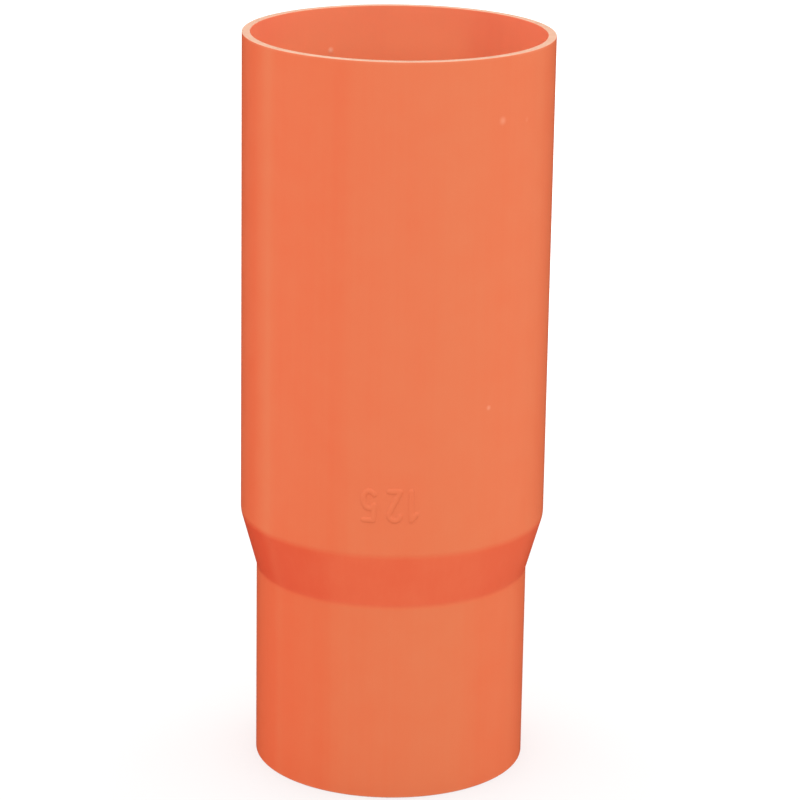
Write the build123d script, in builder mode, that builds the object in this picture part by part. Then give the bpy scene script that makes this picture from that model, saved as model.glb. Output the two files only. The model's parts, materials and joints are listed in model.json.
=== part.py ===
from build123d import *

import os

# PVC repair coupling, one thermoformed length of pipe, in millimetres.
# It stands on its spigot: the axis is Z, and the origin is at the centre of the spigot's foot.
# The wide sleeve slips over the outside of a drain pipe, and the spigot slips into the bore of the next one.

# The drain pipe that the coupling mends
PIPE_OUTER_DIAMETER = 125.0
PIPE_WALL = 3.0

# Radial play between the coupling and that pipe
SLEEVE_CLEARANCE = 0.2
SPIGOT_CLEARANCE = 0.2

# The coupling's own wall, and the lengths of its three stretches measured on the outside
COUPLING_WALL = 3.6
SLEEVE_LENGTH = 211.0
CONE_LENGTH = 25.0
SPIGOT_LENGTH = 87.5

# Bend radii where the cone meets the sleeve and the spigot, each on the hollow side of its bend
SHOULDER_BEND_RADIUS = 7.0
NECK_BEND_RADIUS = 5.5

# Edge left by the deburring knife on the sawn ends
EDGE_BREAK = 0.4

# Outside radii and heights that follow from the sizes above
sleeve_radius = PIPE_OUTER_DIAMETER / 2 + SLEEVE_CLEARANCE + COUPLING_WALL
spigot_radius = PIPE_OUTER_DIAMETER / 2 - PIPE_WALL - SPIGOT_CLEARANCE
neck_height = SPIGOT_LENGTH
shoulder_height = neck_height + CONE_LENGTH
mouth_height = shoulder_height + SLEEVE_LENGTH

# The shoulder bulges outwards, so its outside arc is wider than its hollow side by the wall
shoulder_outer_radius = SHOULDER_BEND_RADIUS + COUPLING_WALL
neck_outer_radius = NECK_BEND_RADIUS


with BuildPart() as coupling:
    # Half section: the outside line from the foot to the mouth, thickened inwards by the wall
    with BuildSketch(Plane.XZ):
        with BuildLine():
            FilletPolyline(
                (spigot_radius, 0),
                (spigot_radius, neck_height),
                (sleeve_radius, shoulder_height),
                (sleeve_radius, mouth_height),
                radius=[neck_outer_radius, shoulder_outer_radius],
            )
            offset(amount=COUPLING_WALL, side=Side.LEFT)
        make_face()
    revolve(axis=Axis.Z)

    # Sawn ends, with the burr taken off their inner and outer edges
    end_rings = coupling.edges().filter_by(GeomType.CIRCLE).group_by(Axis.Z)
    chamfer(end_rings[0] + end_rings[-1], length=EDGE_BREAK)

coupling.part.label = "coupling_body"

os.makedirs("parts", exist_ok=True)
export_step(coupling.part, "parts/coupling_body.step")
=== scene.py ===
"""Looks of a PVC pipe repair coupling: its spun tube, its raised size number and a studio."""

import json
import logging
import math
from dataclasses import dataclass
from enum import Enum
from typing import Any, Optional, Union

import bmesh
import bpy
from mathutils import Matrix, Vector


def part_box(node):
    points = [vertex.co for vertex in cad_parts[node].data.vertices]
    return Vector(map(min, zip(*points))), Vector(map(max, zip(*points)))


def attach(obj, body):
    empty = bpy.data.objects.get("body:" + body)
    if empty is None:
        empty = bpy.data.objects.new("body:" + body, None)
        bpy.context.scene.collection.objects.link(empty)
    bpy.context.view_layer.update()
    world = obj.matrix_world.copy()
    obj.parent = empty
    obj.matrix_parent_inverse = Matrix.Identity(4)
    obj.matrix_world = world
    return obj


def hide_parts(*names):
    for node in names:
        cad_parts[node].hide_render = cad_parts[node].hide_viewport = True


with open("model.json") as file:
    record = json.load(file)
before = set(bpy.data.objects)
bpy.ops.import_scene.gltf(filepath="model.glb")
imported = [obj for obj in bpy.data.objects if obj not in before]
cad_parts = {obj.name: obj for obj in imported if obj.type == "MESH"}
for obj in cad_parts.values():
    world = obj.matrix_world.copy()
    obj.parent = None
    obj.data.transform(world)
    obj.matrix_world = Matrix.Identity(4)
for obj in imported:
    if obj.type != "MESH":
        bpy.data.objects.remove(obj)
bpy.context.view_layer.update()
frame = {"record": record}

LOG = logging.getLogger("coupling")
BODY = "root"
TUBE_NODE = "coupling_body"

Colour = tuple[float, float, float, float]
Triple = tuple[float, float, float]
Point = tuple[float, float]
SocketName = Union[str, int]

MM = 0.001
PVC_IOR = 1.53
WHITE: Colour = (1.0, 1.0, 1.0, 1.0)
ORIGIN: Triple = (0.0, 0.0, 0.0)
UPWARDS: Triple = (0.0, 0.0, 1.0)
EVENLY: Triple = (1.0, 1.0, 1.0)
LEVEL: Triple = (1.0, 1.0, 0.0)


def polar(angle: float, radius: float = 1.0, height: float = 0.0) -> Vector:
    """A point that is given round the part's axis.

    Args:
        angle: in degrees, 0 on the -Y side and counted towards +X.
        radius: its distance from the axis.
        height: its height above the foot.

    Returns:
        The point.
    """
    turn = math.radians(angle)
    return Vector((radius * math.sin(turn), -radius * math.cos(turn), height))


class Signal:
    """A value that varies over a surface: one output socket, which takes part in sums."""

    def __init__(self, tree: "ShaderTree", socket: bpy.types.NodeSocket) -> None:
        """Wraps a socket of a tree."""
        self.tree = tree
        self.socket = socket

    def _math(self, operation: str, *operands: "Value") -> "Signal":
        """Adds one Math node on these operands."""
        return self.tree.node("ShaderNodeMath", {"operation": operation}, dict(enumerate(operands)))

    def __add__(self, other: "Value") -> "Signal":
        """self + other"""
        return self._math("ADD", self, other)

    def __radd__(self, other: "Value") -> "Signal":
        """other + self"""
        return self._math("ADD", other, self)

    def __sub__(self, other: "Value") -> "Signal":
        """self - other"""
        return self._math("SUBTRACT", self, other)

    def __rsub__(self, other: "Value") -> "Signal":
        """other - self"""
        return self._math("SUBTRACT", other, self)

    def __mul__(self, other: "Value") -> "Signal":
        """self * other"""
        return self._math("MULTIPLY", self, other)

    def __rmul__(self, other: "Value") -> "Signal":
        """other * self"""
        return self._math("MULTIPLY", other, self)

    def __abs__(self) -> "Signal":
        """abs(self)"""
        return self._math("ABSOLUTE", self)

    def larger(self, other: "Value") -> "Signal":
        """The larger of self and other."""
        return self._math("MAXIMUM", self, other)


Value = Union[float, Signal]
Paint = Union[Colour, Signal]
Arrow = Union[Triple, Vector, Signal]


class ShaderTree:
    """Writes the nodes of one material or world."""

    # Noise comes out about this middle, and this gain takes most of it to -1 and 1
    NOISE_MIDDLE = 0.5
    NOISE_GAIN = 4.0

    # The Mix node repeats its names for numbers, vectors and colours, so its colours go by number
    MIX_SHARE = 0
    MIX_LOW = 6
    MIX_HIGH = 7
    MIX_RESULT = 2

    def __init__(self, owner: Union[bpy.types.Material, bpy.types.World]) -> None:
        """Empties the owner's node tree and keeps it at hand.

        Args:
            owner: the material or the world to write.
        """
        owner.use_nodes = True
        self.nodes = owner.node_tree.nodes
        self.links = owner.node_tree.links
        self.nodes.clear()

    def node(
        self,
        kind: str,
        settings: Optional[dict[str, Any]] = None,
        inputs: Optional[dict[SocketName, Any]] = None,
        output: SocketName = 0,
    ) -> Optional[Signal]:
        """Adds any node.

        Args:
            kind: the node's type.
            settings: its properties, which are set first.
            inputs: a value or a link for each named or numbered socket.
            output: the socket that is handed back.

        Returns:
            That output, or None for a node that has none.
        """
        added = self.nodes.new(kind)
        for name, value in (settings or {}).items():
            setattr(added, name, value)
        for name, value in (inputs or {}).items():
            socket = added.inputs[name]
            if isinstance(value, Signal):
                self.links.new(value.socket, socket)
            else:
                socket.default_value = value
        return Signal(self, added.outputs[output]) if added.outputs else None

    def vector_math(self, operation: str, *operands: Arrow, output: str = "Vector") -> Signal:
        """Adds one Vector Math node on these operands."""
        numbered = dict(enumerate(operands))
        return self.node("ShaderNodeVectorMath", {"operation": operation}, numbered, output)

    def place(self) -> Signal:
        """The point on the piece, in metres, in the part's own frame."""
        return self.node("ShaderNodeTexCoord", output="Object")

    def along(self, axis: str) -> Signal:
        """The point's place along X, Y or Z, in metres."""
        return self.node("ShaderNodeSeparateXYZ", inputs={0: self.place()}, output=axis)

    def height(self) -> Signal:
        """The point's height above the foot, in metres."""
        return self.along("Z")

    def outwards(self) -> Signal:
        """The direction from the part's axis to the point."""
        return self.vector_math("NORMALIZE", self.vector_math("MULTIPLY", self.place(), LEVEL))

    def noise(self, size: float, stretch: Triple, detail: float) -> Signal:
        """Noise about zero, mostly between -1 and 1.

        Args:
            size: how far apart its light and dark places are, in metres.
            stretch: how many times longer they are along X, Y and Z.
            detail: how many finer layers it has.

        Returns:
            The noise.
        """
        squeezed = self.vector_math("DIVIDE", self.place(), tuple(size * times for times in stretch))
        raw = self.node("ShaderNodeTexNoise", inputs={"Vector": squeezed, "Scale": 1.0, "Detail": detail})
        return (raw - self.NOISE_MIDDLE) * self.NOISE_GAIN

    def rise(self, value: Value, start: float, end: float) -> Signal:
        """A soft step.

        Args:
            value: what it steps along.
            start: where it leaves 0.
            end: where it reaches 1.

        Returns:
            The step, from 0 to 1.
        """
        return self.node(
            "ShaderNodeMapRange",
            {"interpolation_type": "SMOOTHSTEP"},
            {"Value": value, "From Min": start, "From Max": end, "To Min": 0.0, "To Max": 1.0},
        )

    def step(self, value: Value, middle: float, edge: float) -> Signal:
        """A soft step about a middle, which takes up the edge on either side of it."""
        return self.rise(value, middle - edge, middle + edge)

    def mix(self, share: Value, low: Paint, high: Paint) -> Signal:
        """Mixes two colours.

        Args:
            share: how far the mix goes from low to high.
            low: the colour where share is 0.
            high: the colour where share is 1.

        Returns:
            The mixed colour.
        """
        return self.node(
            "ShaderNodeMix",
            {"data_type": "RGBA", "clamp_factor": True},
            {self.MIX_SHARE: share, self.MIX_LOW: low, self.MIX_HIGH: high},
            self.MIX_RESULT,
        )

    def bump(self, height: Signal, depth: float) -> Signal:
        """A normal for relief that stands depth metres high where height is 1."""
        return self.node("ShaderNodeBump", inputs={"Strength": 1.0, "Distance": depth, "Height": height})

    def blend(self, share: Signal, low: Signal, high: Signal) -> Signal:
        """The shader low where share is 0 and high where it is 1."""
        return self.node("ShaderNodeMixShader", inputs={0: share, 1: low, 2: high})

    def diffuse(self, colour: Colour) -> Signal:
        """A plain matt shader."""
        return self.node("ShaderNodeBsdfDiffuse", inputs={"Color": colour})

    def glow(self, strength: float) -> Signal:
        """A plain white glow."""
        return self.node("ShaderNodeEmission", inputs={"Strength": strength})

    def seen_directly(self) -> Signal:
        """Tells a look at a backdrop from light that falls on it.

        Returns:
            1 for rays that look at it, straight or in a reflection, and 0 for light.
        """
        camera, glossy, transmission = [
            self.node("ShaderNodeLightPath", output=name)
            for name in ("Is Camera Ray", "Is Glossy Ray", "Is Transmission Ray")
        ]
        return camera.larger(glossy).larger(transmission)


@dataclass(frozen=True)
class Pimple:
    """A pale speck in the plastic that stands a little proud. Its angle is counted as in polar."""

    wall_radius: float
    angle: float
    height: float
    radius: float
    paleness: float

    def shade(self, tree: ShaderTree) -> Signal:
        """Writes the pimple.

        Args:
            tree: the finish's nodes.

        Returns:
            A share that goes from 0 around it to its paleness at its top.
        """
        centre = polar(self.angle, self.wall_radius, self.height)
        away = tree.vector_math("DISTANCE", tree.place(), centre, output="Value")
        return self.paleness * (1.0 - tree.rise(away, 0.0, self.radius))


@dataclass(frozen=True)
class LightAndShadeBand:
    """A lengthways band painted a shade deeper or lighter: painted shade and painted light, where the
    light falls less or more round the tube.

    Its angles are in degrees, counted as in polar. Without a bottom or a top it runs on to that end.
    """

    angle: float
    half_width: float
    edge: float
    amount: float
    bottom: Optional[float] = None
    top: Optional[float] = None
    fade: float = 2.0 * MM

    def shade(self, tree: ShaderTree) -> Signal:
        """Writes the band.

        Args:
            tree: the finish's nodes.

        Returns:
            The share that it adds to the finish's mix of colours, below 0 where it is deeper.
        """
        aligned = tree.vector_math("DOT_PRODUCT", tree.outwards(), polar(self.angle), output="Value")
        outer = math.cos(math.radians(self.half_width + self.edge))
        inner = math.cos(math.radians(self.half_width - self.edge))
        shade = self.amount * tree.rise(aligned, outer, inner)
        if self.bottom is not None:
            shade = shade * tree.step(tree.height(), self.bottom, self.fade)
        if self.top is not None:
            shade = shade * (1.0 - tree.step(tree.height(), self.top, self.fade))
        return shade


@dataclass(frozen=True)
class ShadedHeightBand:
    """A stretch of wall between two heights that takes colours of its own: painted shade, and on the cone
    also the heated wall's own tone.
    """

    start: float
    end: float
    edge: float

    def share(self, tree: ShaderTree) -> Signal:
        """Writes the band.

        Args:
            tree: the finish's nodes.

        Returns:
            How far each height takes the band's colours, from 0 to 1.
        """
        height = tree.height()
        return tree.step(height, self.start, self.edge) - tree.step(height, self.end, self.edge)


@dataclass(frozen=True)
class SatinPvc:
    """Satin orange PVC with the faint lengthways bands and lines of the extruder's die, and lengthways
    bands of painted light and painted shade.

    Its colour varies from deep to light, and between the shaded band's pair in a band of heights, which
    holds painted shade.
    The shares say how much each pattern moves that mix, and the reliefs how high each one stands.
    """

    name: str
    deep: Colour
    light: Colour
    shaded_band_deep: Colour
    shaded_band_light: Colour
    pale: Colour
    roughness: float
    shaded_band: ShadedHeightBand
    light_and_shade_bands: tuple[LightAndShadeBand, ...]
    pimples: tuple[Pimple, ...]
    scuffed_ends: tuple[float, ...] = ()
    gloss: float = 0.12
    skin: float = 0.2
    skin_roughness: float = 0.15
    lengthways: float = 60.0
    band_size: float = 26.0 * MM
    line_size: float = 2.2 * MM
    mottle_size: float = 14.0 * MM
    grain_size: float = 0.5 * MM
    middle_share: float = 0.5
    band_share: float = 0.09
    line_share: float = 0.035
    mottle_share: float = 0.06
    grain_share: float = 0.03
    shaded_band_share: float = 0.44
    shaded_band_spread: float = 0.80
    scuff_reach: float = 1.6 * MM
    scuff_share: float = 0.10
    scuff_unevenness: float = 0.8
    roughness_spread: float = 0.03
    relief_depth: float = 0.16 * MM
    line_relief: float = 0.045
    grain_relief: float = 0.018

    def scuff(self, tree: ShaderTree, end: float) -> Signal:
        """The pale scuffing beside an end, where the tube is handled and set down."""
        return self.scuff_share * (1.0 - tree.rise(abs(tree.height() - end), 0.0, self.scuff_reach))

    def material(self) -> bpy.types.Material:
        """Writes the finish.

        Returns:
            The material.
        """
        made = bpy.data.materials.new(self.name)
        tree = ShaderTree(made)
        drawn = (1.0, 1.0, self.lengthways)
        bands = tree.noise(self.band_size, drawn, detail=1.0)
        lines = tree.noise(self.line_size, drawn, detail=3.0)
        mottle = tree.noise(self.mottle_size, EVENLY, detail=3.0)
        grain = tree.noise(self.grain_size, EVENLY, detail=2.0)
        # The variation holds random tone from the noises and the bands of painted light and painted shade
        variation = (
            self.band_share * bands
            + self.line_share * lines
            + self.mottle_share * mottle
            + self.grain_share * grain
            + sum((band.shade(tree) for band in self.light_and_shade_bands), 0.0)
        )
        plain = tree.mix(self.middle_share + variation, self.deep, self.light)
        # In the band of heights the colour takes the second pair: painted shade, and on the cone also the
        # heated wall's tone
        shaded_band_mix = self.shaded_band_share + self.shaded_band_spread * variation
        shaded_band_colour = tree.mix(shaded_band_mix, self.shaded_band_deep, self.shaded_band_light)
        colour = tree.mix(self.shaded_band.share(tree), plain, shaded_band_colour)
        pips = sum((pimple.shade(tree) for pimple in self.pimples), 0.0)
        scuffs = sum((self.scuff(tree, end) for end in self.scuffed_ends), 0.0)
        worn = pips + scuffs * (1.0 + self.scuff_unevenness * mottle)
        relief = pips + self.line_relief * lines + self.grain_relief * grain
        shader = tree.node(
            "ShaderNodeBsdfPrincipled",
            inputs={
                "Base Color": tree.mix(worn, colour, self.pale),
                "Roughness": self.roughness + self.roughness_spread * (lines + mottle),
                "IOR": PVC_IOR,
                "Specular IOR Level": self.gloss,
                "Coat Weight": self.skin,
                "Coat Roughness": self.skin_roughness,
                "Normal": tree.bump(relief, self.relief_depth),
            },
        )
        tree.node("ShaderNodeOutputMaterial", inputs={"Surface": shader})
        return made


@dataclass(frozen=True)
class SawnPvc:
    """A sawn end: paler, rougher and finely scored by the blade."""

    deep: Colour = (0.71, 0.33, 0.20, 1.0)
    light: Colour = (0.78, 0.49, 0.34, 1.0)
    roughness: float = 0.55
    score_size: float = 0.35 * MM
    score_length: float = 40.0
    score_depth: float = 0.04 * MM
    patch_size: float = 9.0 * MM
    middle_share: float = 0.6
    score_share: float = 0.22
    patch_share: float = 0.25
    roughness_spread: float = 0.05

    def material(self) -> bpy.types.Material:
        """Writes the finish.

        Returns:
            The material for the mouth, the foot and their broken edges.
        """
        made = bpy.data.materials.new("sawn_orange_pvc")
        tree = ShaderTree(made)
        scores = tree.noise(self.score_size, (self.score_length, 1.0, 1.0), detail=2.0)
        patches = tree.noise(self.patch_size, EVENLY, detail=3.0)
        share = self.middle_share + self.score_share * scores + self.patch_share * patches
        shader = tree.node(
            "ShaderNodeBsdfPrincipled",
            inputs={
                "Base Color": tree.mix(share, self.deep, self.light),
                "Roughness": self.roughness + self.roughness_spread * patches,
                "IOR": PVC_IOR,
                "Normal": tree.bump(scores, self.score_depth),
            },
        )
        tree.node("ShaderNodeOutputMaterial", inputs={"Surface": shader})
        return made


def spin_round(shape: bmesh.types.BMesh, steps: int) -> None:
    """Spins a drawn outline once round the part's axis.

    Args:
        shape: the outline in the XZ plane, which becomes the spun shape.
        steps: how many faces it takes all round.
    """
    bmesh.ops.spin(
        shape,
        geom=shape.verts[:] + shape.edges[:],
        cent=ORIGIN,
        axis=UPWARDS,
        angle=math.tau,
        steps=steps,
        use_merge=True,
    )


def mesh_object(name: str, shape: bmesh.types.BMesh, *finishes: bpy.types.Material) -> bpy.types.Object:
    """Turns a finished shape into an object at the origin.

    Args:
        name: the object's name.
        shape: its mesh, in the part's frame, which is used up.
        finishes: its materials, slot by slot.

    Returns:
        The object, in the scene.
    """
    mesh = bpy.data.meshes.new(name)
    shape.to_mesh(mesh)
    shape.free()
    for finish in finishes:
        mesh.materials.append(finish)
    made = bpy.data.objects.new(name, mesh)
    bpy.context.scene.collection.objects.link(made)
    return made


def part_piece(name: str, shape: bmesh.types.BMesh, *finishes: bpy.types.Material) -> bpy.types.Object:
    """Turns a finished shape into a smooth piece that moves with the part.

    Args:
        name: the piece's name.
        shape: its mesh, in the part's frame, which is used up.
        finishes: its materials, slot by slot.

    Returns:
        The piece.
    """
    for face in shape.faces:
        face.smooth = True
    piece = mesh_object(name, shape, *finishes)
    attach(piece, BODY)
    return piece


class Zone(Enum):
    """The finishes of the tube's faces, by material slot."""

    WALL = 0
    BORE = 1
    SAWN_END = 2


@dataclass(frozen=True)
class Corner:
    """A corner of the tube's half section, and the length of wall that its rounding takes."""

    radius: float
    height: float
    reach: float
    segments: int


@dataclass
class CouplingTube:
    """The one-piece tube: spigot, cone and sleeve in one even wall, sawn square at both ends."""

    sleeve_radius: float
    bore_radius: float
    spigot_radius: float
    mouth_height: float
    spigot_length: float = 87.5 * MM
    cone_length: float = 25.0 * MM
    shoulder_bend: float = 7.0 * MM
    neck_bend: float = 5.5 * MM
    edge_break: float = 0.4 * MM
    bend_segments: int = 10
    edge_segments: int = 4
    steps_around: int = 256
    ring_spacing: float = 8.0 * MM
    weld: float = 0.0004 * MM
    sawn_tilt: float = 0.8
    cone_shade_edge: float = 2.0 * MM
    mouth_shade_ring: float = 10.0 * MM

    @classmethod
    def from_frame(cls) -> "CouplingTube":
        """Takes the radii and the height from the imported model.

        Returns:
            The tube.
        """
        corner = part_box(TUBE_NODE)[1]
        radii = {m["name"]: m["dims"].get("r_mm", 0.0) * MM for m in frame["record"]["mounts"]}
        return cls(
            sleeve_radius=corner.x,
            bore_radius=radii["sleeve_bore"],
            spigot_radius=radii["spigot"],
            mouth_height=corner.z,
        )

    @property
    def wall(self) -> float:
        """The wall's thickness."""
        return self.sleeve_radius - self.bore_radius

    @property
    def neck(self) -> float:
        """The height at which the spigot meets the cone."""
        return self.spigot_length

    @property
    def shoulder(self) -> float:
        """The height at which the cone meets the sleeve."""
        return self.spigot_length + self.cone_length

    @property
    def half_bend(self) -> float:
        """The tangent of half the angle by which the cone leans out from the axis."""
        return math.tan(math.atan2(self.sleeve_radius - self.spigot_radius, self.cone_length) / 2)

    def edge(self, radius: float, height: float) -> Corner:
        """A corner of a sawn end, with its edge broken."""
        return Corner(radius, height, self.edge_break, self.edge_segments)

    def bend(self, radius: float, height: float, bend_radius: float) -> Corner:
        """A corner of the cone, rounded to a bend."""
        return Corner(radius, height, bend_radius * self.half_bend, self.bend_segments)

    def corners(self) -> list[Corner]:
        """Lays out the half section.

        Returns:
            Its corners, up the outside from the foot and down the inside from the mouth.
        """
        lift = self.wall * self.half_bend
        waterway_radius = self.spigot_radius - self.wall
        return [
            self.edge(self.spigot_radius, 0.0),
            self.bend(self.spigot_radius, self.neck, self.neck_bend),
            self.bend(self.sleeve_radius, self.shoulder, self.shoulder_bend + self.wall),
            self.edge(self.sleeve_radius, self.mouth_height),
            self.edge(self.bore_radius, self.mouth_height),
            self.bend(self.bore_radius, self.shoulder + lift, self.shoulder_bend),
            self.bend(waterway_radius, self.neck + lift, self.neck_bend + self.wall),
            self.edge(waterway_radius, 0.0),
        ]

    def section(self) -> bmesh.types.BMesh:
        """Draws the half section and rounds its corners.

        Returns:
            The section as a closed wire.
        """
        shape = bmesh.new()
        corners = self.corners()
        points = [shape.verts.new((corner.radius, 0.0, corner.height)) for corner in corners]
        shape.faces.new(points)
        for point, corner in zip(points, corners):
            bmesh.ops.bevel(
                shape,
                geom=[point],
                offset=corner.reach,
                offset_type="OFFSET",
                affect="VERTICES",
                segments=corner.segments,
                profile=0.5,
                material=-1,
            )
        bmesh.ops.delete(shape, geom=shape.faces[:], context="FACES_ONLY")
        return shape

    def spun(self) -> bmesh.types.BMesh:
        """Spins the section round the axis and rings the walls at even heights.

        Returns:
            The closed tube, with its faces outwards.
        """
        shape = self.section()
        spin_round(shape, self.steps_around)
        bmesh.ops.remove_doubles(shape, verts=shape.verts[:], dist=self.weld)
        rings = int(self.mouth_height / self.ring_spacing)
        for ring in range(1, rings + 1):
            bmesh.ops.bisect_plane(
                shape,
                geom=shape.verts[:] + shape.edges[:] + shape.faces[:],
                plane_co=(0.0, 0.0, self.mouth_height * ring / (rings + 1)),
                plane_no=UPWARDS,
            )
        bmesh.ops.recalc_face_normals(shape, faces=shape.faces[:])
        return shape

    def zone(self, face: bmesh.types.BMFace) -> Zone:
        """Sorts a face of the spun tube by the way that it faces.

        Args:
            face: the face.

        Returns:
            The finish that it takes.
        """
        if abs(face.normal.z) > self.sawn_tilt:
            return Zone.SAWN_END
        inwards = face.normal.xy.dot(face.calc_center_median().xy) < 0.0
        return Zone.BORE if inwards else Zone.WALL

    def wall_finish(self) -> SatinPvc:
        """Chooses the outside's finish, with its bands of painted light and shade and the pimples where
        the real one has them.

        Returns:
            The finish, deeper on the drawn-in cone, partly as the heated wall's own tone and partly as
            painted shade, and scuffed at both ends.
        """
        return SatinPvc(
            name="satin_orange_pvc",
            deep=(0.785, 0.134, 0.049, 1.0),
            light=(0.768, 0.219, 0.0925, 1.0),
            # The cone's pair: the heated wall's own deeper tone, and painted shade of the cone that faces
            # down
            shaded_band_deep=(0.800, 0.091, 0.034, 1.0),
            shaded_band_light=(0.905, 0.212, 0.092, 1.0),
            pale=(0.920, 0.380, 0.230, 1.0),
            roughness=0.42,
            shaded_band=ShadedHeightBand(self.neck, self.shoulder, self.cone_shade_edge),
            # Painted shade and painted light: darker at both edges and on the left, lighter to the right,
            # and a painted highlight down the spigot
            light_and_shade_bands=(
                LightAndShadeBand(angle=-80.0, half_width=21.0, edge=7.0, amount=-0.40),
                LightAndShadeBand(angle=-57.0, half_width=4.0, edge=3.0, amount=0.06),
                LightAndShadeBand(angle=88.0, half_width=20.0, edge=5.0, amount=-0.11),
                LightAndShadeBand(angle=-34.5, half_width=16.0, edge=4.0, amount=-0.18, bottom=self.shoulder),
                LightAndShadeBand(angle=42.0, half_width=22.0, edge=10.0, amount=0.04, bottom=self.shoulder),
                LightAndShadeBand(angle=-50.0, half_width=24.0, edge=8.0, amount=-0.36, top=self.shoulder),
                LightAndShadeBand(angle=60.0, half_width=22.0, edge=10.0, amount=-0.11, top=self.shoulder),
                LightAndShadeBand(angle=8.0, half_width=34.0, edge=14.0, amount=0.05, top=self.neck),
                LightAndShadeBand(angle=21.0, half_width=8.0, edge=5.0, amount=0.08, top=self.neck),
            ),
            pimples=(
                Pimple(self.sleeve_radius, angle=40.3, height=296.8 * MM, radius=2.5 * MM, paleness=0.40),
                Pimple(self.sleeve_radius, angle=53.2, height=295.2 * MM, radius=1.6 * MM, paleness=0.12),
                Pimple(self.sleeve_radius, angle=36.9, height=174.9 * MM, radius=1.6 * MM, paleness=0.45),
            ),
            scuffed_ends=(0.0, self.mouth_height),
        )

    def bore_finish(self) -> SatinPvc:
        """Chooses the inside's finish.

        Returns:
            The finish, paler than the outside as painted light, with bands of painted light and shade,
            and a ring of painted shade inside the mouth.
        """
        # The ring of painted shade runs on past the mouth, so that only its lower side fades
        ring = ShadedHeightBand(
            start=self.mouth_height - self.mouth_shade_ring,
            end=self.mouth_height + 2.0 * self.mouth_shade_ring,
            edge=self.mouth_shade_ring,
        )
        return SatinPvc(
            name="bore_pvc_painted_light",
            # Paler than the outside: painted light for the light that reaches into the bore
            deep=(0.828, 0.196, 0.099, 1.0),
            light=(0.932, 0.310, 0.151, 1.0),
            # The mouth ring's pair, a little deeper: painted shade inside the mouth
            shaded_band_deep=(0.800, 0.172, 0.088, 1.0),
            shaded_band_light=(0.872, 0.262, 0.127, 1.0),
            pale=(0.980, 0.540, 0.360, 1.0),
            roughness=0.50,
            shaded_band=ring,
            # Painted light at the back left of the bore and painted shade on its right
            light_and_shade_bands=(
                LightAndShadeBand(angle=-168.0, half_width=36.0, edge=16.0, amount=0.55),
                LightAndShadeBand(angle=115.0, half_width=25.0, edge=20.0, amount=-0.09),
            ),
            pimples=(
                Pimple(self.bore_radius, angle=-151.5, height=304.6 * MM, radius=1.8 * MM, paleness=0.9),
            ),
        )

    def finishes(self) -> dict[Zone, bpy.types.Material]:
        """Writes the tube's finishes.

        Returns:
            The material of each zone.
        """
        return {
            Zone.WALL: self.wall_finish().material(),
            Zone.BORE: self.bore_finish().material(),
            Zone.SAWN_END: SawnPvc().material(),
        }

    def build(self, finishes: dict[Zone, bpy.types.Material]) -> bpy.types.Object:
        """Makes the tube and puts it in the place of the plain solid.

        Args:
            finishes: the material of each zone.

        Returns:
            The finished piece.
        """
        shape = self.spun()
        for face in shape.faces:
            face.material_index = self.zone(face).value
        piece = part_piece("coupling_tube", shape, *(finishes[zone] for zone in Zone))
        shading = piece.modifiers.new("even_faces", "WEIGHTED_NORMAL")
        shading.keep_sharp = True
        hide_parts(TUBE_NODE)
        return piece


def arc(centre: Point, radii: Point, start: float, end: float, count: int = 24) -> list[Point]:
    """Points along part of an ellipse.

    Args:
        centre: its middle.
        radii: its half width and half height.
        start: the first point's angle, in degrees from the right.
        end: the last point's angle.
        count: how many steps it takes.

    Returns:
        The points, first to last.
    """
    angles = [math.radians(start + (end - start) * step / count) for step in range(count + 1)]
    return [(centre[0] + radii[0] * math.cos(a), centre[1] + radii[1] * math.sin(a)) for a in angles]


class Digit(Enum):
    """The digits of the size number. A digit's value is its pen's width of travel, for a height of 1."""

    ONE = 0.17
    TWO = 0.38
    FIVE = 0.37

    def strokes(self) -> list[list[Point]]:
        """The pen's path, lifted at each sharp corner.

        Returns:
            The strokes, each a list of points from the digit's lower left corner.
        """
        width = self.value
        if self is Digit.ONE:
            top = (width, 1.0)
            flag = (0.0, 0.80)
            return [[(width, 0.0), top], [flag, top]]
        if self is Digit.TWO:
            corner = (0.0, 0.0)
            bow_radius = width / 2
            bow = arc((bow_radius, 1.0 - bow_radius), (bow_radius, bow_radius), start=170.0, end=-30.0)
            return [bow + [corner], [corner, (width, 0.0)]]
        corner = (0.10 * width, 1.0)
        bar_end = (0.95 * width, 1.0)
        bowl_height = 0.30
        bowl = arc((0.46 * width, bowl_height), (0.54 * width, bowl_height), start=142.0, end=-142.0)
        return [[corner, bar_end], [corner, bowl[0]], bowl]


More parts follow.
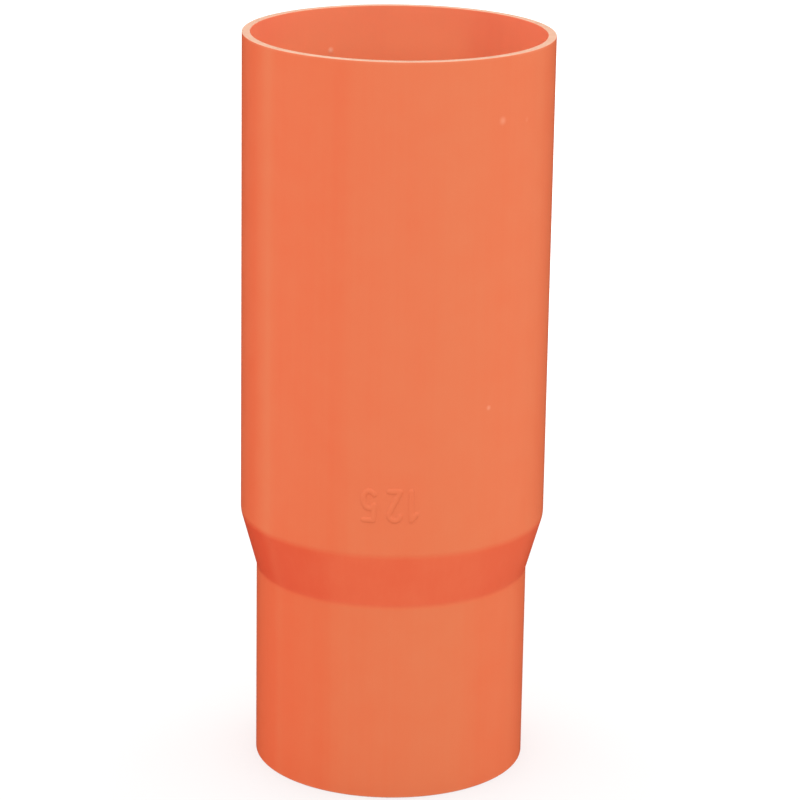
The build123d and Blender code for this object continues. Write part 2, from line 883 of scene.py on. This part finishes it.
@dataclass
class SizeNumber:
    """The pipe's size, raised faintly on the sleeve by the forming tool. It stands on its head."""

    wall_radius: float
    digits: tuple[Digit, ...] = (Digit.ONE, Digit.TWO, Digit.FIVE)
    gaps: tuple[float, ...] = (4.5 * MM, 6.1 * MM)
    centre_height: float = 135.2 * MM
    centre_angle: float = 1.0
    digit_height: float = 12.8 * MM
    ridge_width: float = 2.8 * MM
    relief: float = 0.42 * MM
    root: float = 0.5 * MM
    pen_radius: float = 2.0 * MM
    pen_resolution: int = 6
    cap_steps: int = 6
    voxel: float = 0.2 * MM
    smoothing: float = 0.5
    smoothing_passes: int = 6

    @property
    def depth_radius(self) -> float:
        """The pen's half depth, at which a ridge of the named width stands as high as the relief."""
        share = self.ridge_width / 2 / self.pen_radius
        return self.relief / (1.0 - math.sqrt(1.0 - share * share))

    def lines(self) -> list[list[Vector]]:
        """Sets the digits side by side on a flat sheet.

        Returns:
            All strokes, with the middle digit's centre at the origin.
        """
        starts = [0.0]
        for digit, gap in zip(self.digits, self.gaps):
            starts.append(starts[-1] + digit.value * self.digit_height + gap)
        middle = len(self.digits) // 2
        centre = starts[middle] + self.digits[middle].value * self.digit_height / 2
        return [
            [
                Vector((start + x * self.digit_height - centre, (y - 0.5) * self.digit_height, 0.0))
                for x, y in stroke
            ]
            for digit, start in zip(self.digits, starts)
            for stroke in digit.strokes()
        ]

    def add_stroke(self, curve: bpy.types.Curve, line: list[Vector]) -> None:
        """Adds a round-ended stroke to the curve.

        Args:
            curve: the curve that holds the strokes.
            line: the stroke's points.
        """
        turns = [math.pi / 2 * step / self.cap_steps for step in range(self.cap_steps, 0, -1)]
        caps = [(self.pen_radius * math.sin(a), math.cos(a)) for a in turns]
        first = (line[0] - line[1]).normalized()
        last = (line[-1] - line[-2]).normalized()
        swollen = [(line[0] + first * far, swell) for far, swell in caps]
        swollen += [(point, 1.0) for point in line]
        swollen += [(line[-1] + last * far, swell) for far, swell in reversed(caps)]
        spline = curve.splines.new("POLY")
        spline.points.add(len(swollen) - 1)
        for target, (point, swell) in zip(spline.points, swollen):
            target.co = (*point, 1.0)
            target.radius = swell

    def pen_skin(self) -> bmesh.types.BMesh:
        """Draws the strokes with a flattened pen and fuses them.

        Returns:
            One closed skin, which lies flat about height 0.
        """
        curve = bpy.data.curves.new("pen_strokes", "CURVE")
        curve.dimensions = "3D"
        curve.bevel_depth = self.pen_radius
        curve.bevel_resolution = self.pen_resolution
        for line in self.lines():
            self.add_stroke(curve, line)
        tubes = bpy.data.objects.new("pen_strokes", curve)
        raw = bpy.data.meshes.new_from_object(tubes)
        raw.transform(Matrix.Diagonal((1.0, 1.0, self.depth_radius / self.pen_radius, 1.0)))
        draft = bpy.data.objects.new("pen_skin", raw)
        bpy.context.scene.collection.objects.link(draft)
        fuse = draft.modifiers.new("one_skin", "REMESH")
        fuse.mode = "VOXEL"
        fuse.voxel_size = self.voxel
        fused = draft.evaluated_get(bpy.context.evaluated_depsgraph_get())
        shape = bmesh.new()
        shape.from_mesh(fused.to_mesh())
        fused.to_mesh_clear()
        bpy.data.objects.remove(draft)
        bpy.data.objects.remove(tubes)
        return shape

    def flat_relief(self) -> bmesh.types.BMesh:
        """Smooths the skin, sinks it into the wall and cuts it off below the wall's face.

        Returns:
            The closed relief on a flat sheet, with the wall's face at height 0.
        """
        shape = self.pen_skin()
        for _ in range(self.smoothing_passes):
            bmesh.ops.smooth_vert(
                shape,
                verts=shape.verts[:],
                factor=self.smoothing,
                use_axis_x=True,
                use_axis_y=True,
                use_axis_z=True,
            )
        bmesh.ops.translate(shape, verts=shape.verts[:], vec=(0.0, 0.0, self.relief - self.depth_radius))
        bmesh.ops.bisect_plane(
            shape,
            geom=shape.verts[:] + shape.edges[:] + shape.faces[:],
            plane_co=(0.0, 0.0, -self.root),
            plane_no=UPWARDS,
            clear_inner=True,
        )
        bmesh.ops.holes_fill(shape, edges=[edge for edge in shape.edges if edge.is_boundary])
        return shape

    def softened(self, out: float) -> float:
        """Eases a height above the wall, so that a ridge runs out into the wall without a crease.

        Args:
            out: the height.

        Returns:
            The eased height, or the same one below the wall's face.
        """
        if out <= 0.0:
            return out
        return self.relief * (1.0 - math.cos(math.pi * min(out / self.relief, 1.0))) / 2

    def build(self, finish: bpy.types.Material) -> bpy.types.Object:
        """Wraps the relief round the sleeve, head down.

        Args:
            finish: the sleeve's own finish.

        Returns:
            The finished piece.
        """
        shape = self.flat_relief()
        for vert in shape.verts:
            along, up, out = vert.co
            angle = self.centre_angle - math.degrees(along / self.wall_radius)
            vert.co = polar(angle, self.wall_radius + self.softened(out), self.centre_height - up)
        bmesh.ops.recalc_face_normals(shape, faces=shape.faces[:])
        return part_piece("size_number", shape, finish)


@dataclass(frozen=True)
class Lamp:
    """A far bank of soft light, which reaches every height alike. Its angles are in degrees."""

    name: str
    azimuth: float
    elevation: float
    spread: float
    strength: float

    def hang(self, distance: float) -> None:
        """Hangs the lamp facing the origin.

        Args:
            distance: how far off it hangs.
        """
        lift = math.radians(self.elevation)
        away = polar(self.azimuth, math.cos(lift), math.sin(lift))
        light = bpy.data.lights.new(self.name, "SUN")
        light.angle = math.radians(self.spread)
        light.energy = self.strength
        lamp = bpy.data.objects.new(self.name, light)
        lamp.location = away * distance
        lamp.rotation_euler = (-away).to_track_quat("-Z", "Y").to_euler()
        bpy.context.scene.collection.objects.link(lamp)


@dataclass
class Studio:
    """A pale floor under an even dome, two soft banks of light and a grey tent for the reflections."""

    floor_radius: float = 8.0
    floor_segments: int = 96
    floor_colour: Colour = (0.34, 0.34, 0.34, 1.0)
    bounce_colour: Colour = (0.54, 0.54, 0.54, 1.0)
    near_glow: float = 0.58
    far_glow: float = 1.0
    glow_margin: float = 2.0 * MM
    glow_start: float = 0.15
    glow_end: float = 0.9
    dome_strength: float = 1.385
    tent_lift: float = 0.1 * MM
    tent_radius: float = 0.30
    tent_height: float = 0.80
    tent_segments: int = 64
    tent_front: float = -0.28
    tent_back: float = 0.16
    tent_hem: float = 0.10
    tent_grey: float = 0.55
    lamp_distance: float = 3.0
    lamps: tuple[Lamp, ...] = (
        Lamp("right_bank", azimuth=118.0, elevation=20.0, spread=40.0, strength=0.56),
        Lamp("left_bank", azimuth=-118.0, elevation=20.0, spread=40.0, strength=0.44),
    )

    def build(self, foot_radius: float) -> None:
        """Sets up the floor, the tent, the world and the lamps.

        Args:
            foot_radius: the radius of the part's foot, which the tent stands clear of.
        """
        scene = bpy.context.scene
        scene.view_settings.view_transform = "Standard"
        scene.world = self.dome()
        self.floor(foot_radius)
        self.tent(foot_radius)
        for lamp in self.lamps:
            lamp.hang(self.lamp_distance)

    def dome(self) -> bpy.types.World:
        """Writes an even light from all round, which shows as plain white.

        Returns:
            The world.
        """
        world = bpy.data.worlds.new("dome")
        tree = ShaderTree(world)
        light, white = [
            tree.node("ShaderNodeBackground", inputs={"Color": WHITE, "Strength": strength})
            for strength in (self.dome_strength, 1.0)
        ]
        shown = tree.blend(tree.seen_directly(), light, white)
        tree.node("ShaderNodeOutputWorld", inputs={"Surface": shown})
        return world

    def floor(self, foot_radius: float) -> None:
        """Lays a floor that takes the shadow and shows white away from it, but not inside the tube.

        Args:
            foot_radius: the radius of the part's foot.
        """
        shape = bmesh.new()
        bmesh.ops.create_circle(
            shape,
            cap_ends=True,
            radius=self.floor_radius,
            segments=self.floor_segments,
        )
        made = bpy.data.materials.new("pale_floor")
        tree = ShaderTree(made)
        away = tree.vector_math("LENGTH", tree.place(), output="Value")
        outside = tree.rise(away, foot_radius - self.glow_margin, foot_radius)
        far = tree.rise(away, self.glow_start, self.glow_end)
        glow = tree.blend(far, tree.glow(self.near_glow), tree.glow(self.far_glow))
        lit = tree.node("ShaderNodeAddShader", inputs={0: tree.diffuse(self.floor_colour), 1: glow})
        shown = tree.blend(tree.seen_directly() * outside, tree.diffuse(self.bounce_colour), lit)
        tree.node("ShaderNodeOutputMaterial", inputs={"Surface": shown})
        mesh_object("floor", shape, made)

    def tent(self, foot_radius: float) -> None:
        """Hangs a grey tent for reflections alone. Its back and hem are black, to keep the edges clear.

        Args:
            foot_radius: the radius of the part's foot.
        """
        shape = bmesh.new()
        outline = (
            (foot_radius, self.tent_lift),
            (self.tent_radius, self.tent_lift),
            (self.tent_radius, self.tent_height),
        )
        points = [shape.verts.new((radius, 0.0, height)) for radius, height in outline]
        for start, end in zip(points, points[1:]):
            shape.edges.new((start, end))
        spin_round(shape, self.tent_segments)
        made = bpy.data.materials.new("grey_tent")
        tree = ShaderTree(made)
        back = tree.rise(tree.along("Y"), self.tent_front, self.tent_back)
        hem = 1.0 - tree.rise(tree.height(), 0.0, self.tent_hem)
        graded = tree.blend(back.larger(hem), tree.glow(self.tent_grey), tree.glow(0.0))
        tree.node("ShaderNodeOutputMaterial", inputs={"Surface": graded})
        tent = mesh_object("tent", shape, made)
        tent.visible_camera = False
        tent.visible_diffuse = False
        tent.visible_shadow = False
        tent.visible_transmission = False


@dataclass(frozen=True)
class PhotoCamera:
    """The photograph's viewpoint: a long lens, a little above the mouth, held slightly askew."""

    distance: float = 1.3801
    height: float = 0.5807
    lens: float = 149.26
    pan: float = -0.115
    tilt: float = 16.891
    roll: float = -0.917

    def place(self) -> None:
        """Makes the camera and hands it to the scene."""
        camera = bpy.data.cameras.new("photo_camera")
        camera.lens = self.lens
        # A new camera looks straight down, so a quarter turn comes first and levels it towards +Y
        level = Matrix.Rotation(math.pi / 2, 4, "X")
        holder = bpy.data.objects.new("photo_camera", camera)
        holder.matrix_world = (
            Matrix.Translation((0.0, -self.distance, self.height))
            @ Matrix.Rotation(math.radians(self.pan), 4, "Z")
            @ Matrix.Rotation(math.radians(-self.tilt), 4, "X")
            @ Matrix.Rotation(math.radians(self.roll), 4, "Y")
            @ level
        )
        bpy.context.scene.collection.objects.link(holder)
        bpy.context.scene.camera = holder


def main() -> None:
    """Builds the coupling and its studio in order, and reports each piece."""
    logging.basicConfig(level=logging.INFO, format="%(name)s: %(message)s")
    tube = CouplingTube.from_frame()
    finishes = tube.finishes()
    number = SizeNumber(tube.sleeve_radius)
    for piece in (tube.build(finishes), number.build(finishes[Zone.WALL])):
        LOG.info("%s has %d faces", piece.name, len(piece.data.polygons))
    Studio().build(tube.spigot_radius)
    PhotoCamera().place()


if __name__ == "__main__":
    main()
